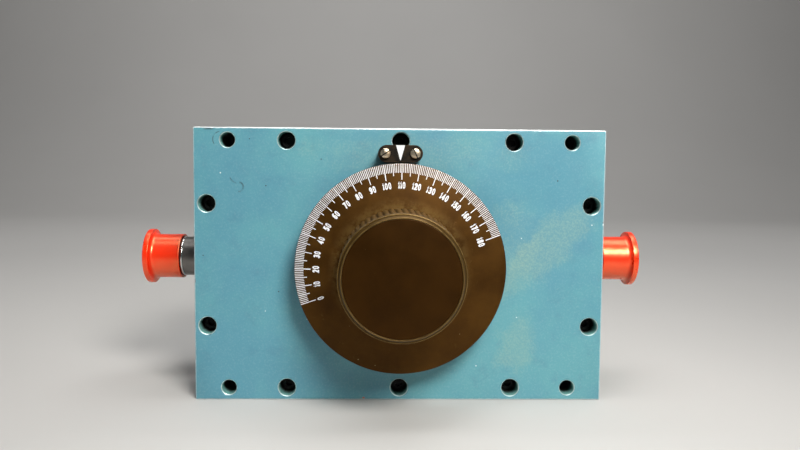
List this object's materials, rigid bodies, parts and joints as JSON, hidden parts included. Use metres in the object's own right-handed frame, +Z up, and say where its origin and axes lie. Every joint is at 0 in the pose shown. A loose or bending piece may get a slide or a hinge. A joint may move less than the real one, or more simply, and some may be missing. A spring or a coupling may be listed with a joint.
{
  "type": "coaxial phase shifter",
  "caption": "Dial-set coaxial phase shifter: blue box of machined plates, graduated dial and knob at the front, a capped coaxial port on each side.",
  "frame": {"origin": "middle of the box's bottom face, the face it stands on", "axes": "+X to the right port, -Y out of the front with the dial, +Z up"},
  "size_m": [0.1992, 0.0972, 0.1016],
  "materials": {
    "blue_paint": "satin enamel, worn thin at the edges",
    "dial_finish": "aged brown-black anodising",
    "dial_marks": "white paint fill in engraved lines and numbers",
    "black_oxide": "black oxide",
    "bright_steel": "turned, slightly tarnished",
    "connector_metal": "dark satin passivated",
    "brass": "machined, partly gold plated",
    "bronze": "sintered bearing bronze",
    "insulator": "machined white dielectric",
    "red_cap": "moulded soft polyethylene"
  },
  "bodies": {
    "housing": {"front_plate": "blue_paint", "housing_frame": "blue_paint", "back_plate": "blue_paint", "pointer_block": "black_oxide", "plate_screw_01": "black_oxide", "plate_screw_02": "black_oxide", "plate_screw_03": "black_oxide", "plate_screw_04": "black_oxide", "plate_screw_05": "black_oxide", "plate_screw_06": "black_oxide", "plate_screw_07": "black_oxide", "plate_screw_08": "black_oxide", "plate_screw_09": "black_oxide", "plate_screw_10": "black_oxide", "pointer_screw_left": "bright_steel", "pointer_screw_right": "bright_steel", "stop_pin": "bright_steel", "left_connector": "connector_metal", "right_connector": "connector_metal", "outer_line": "brass", "inner_line": "brass", "left_contact": "brass", "right_contact": "brass", "front_bush": "bronze", "rear_bush": "bronze", "left_bead": "insulator", "right_bead": "insulator", "support_post_1": "insulator", "support_post_2": "insulator", "support_post_3": "insulator", "support_post_4": "insulator", "support_post_5": "insulator"},
    "dial": {"dial_skirt": "dial_finish", "knob": "dial_finish", "knob_face": "dial_finish", "shaft": "bright_steel", "dial_screw_1": "black_oxide", "dial_screw_2": "black_oxide", "dial_screw_3": "black_oxide", "knob_set_screw_1": "black_oxide", "knob_set_screw_2": "black_oxide", "wave_washer": "bright_steel", "stop_collar": "bright_steel", "collar_set_screw": "black_oxide", "rotor_disc": "insulator", "rotor_bridge": "brass", "bridge_screw_1": "insulator", "bridge_screw_2": "insulator"},
    "left_cap": {"left_dust_cap": "red_cap"},
    "right_cap": {"right_dust_cap": "red_cap"}
  },
  "joints": [
    {"name": "dial_turn", "type": "hinge", "parent": "housing", "child": "dial", "pos_m": [0, 0, 0.0508], "axis": [0, -1, 0], "range_deg": [-110, 70]},
    {"name": "left_cap_pull", "type": "slide", "parent": "housing", "child": "left_cap", "axis": [-1, 0, 0], "range_m": [0, 0.016]},
    {"name": "right_cap_pull", "type": "slide", "parent": "housing", "child": "right_cap", "axis": [1, 0, 0], "range_m": [0, 0.016]}
  ]
}
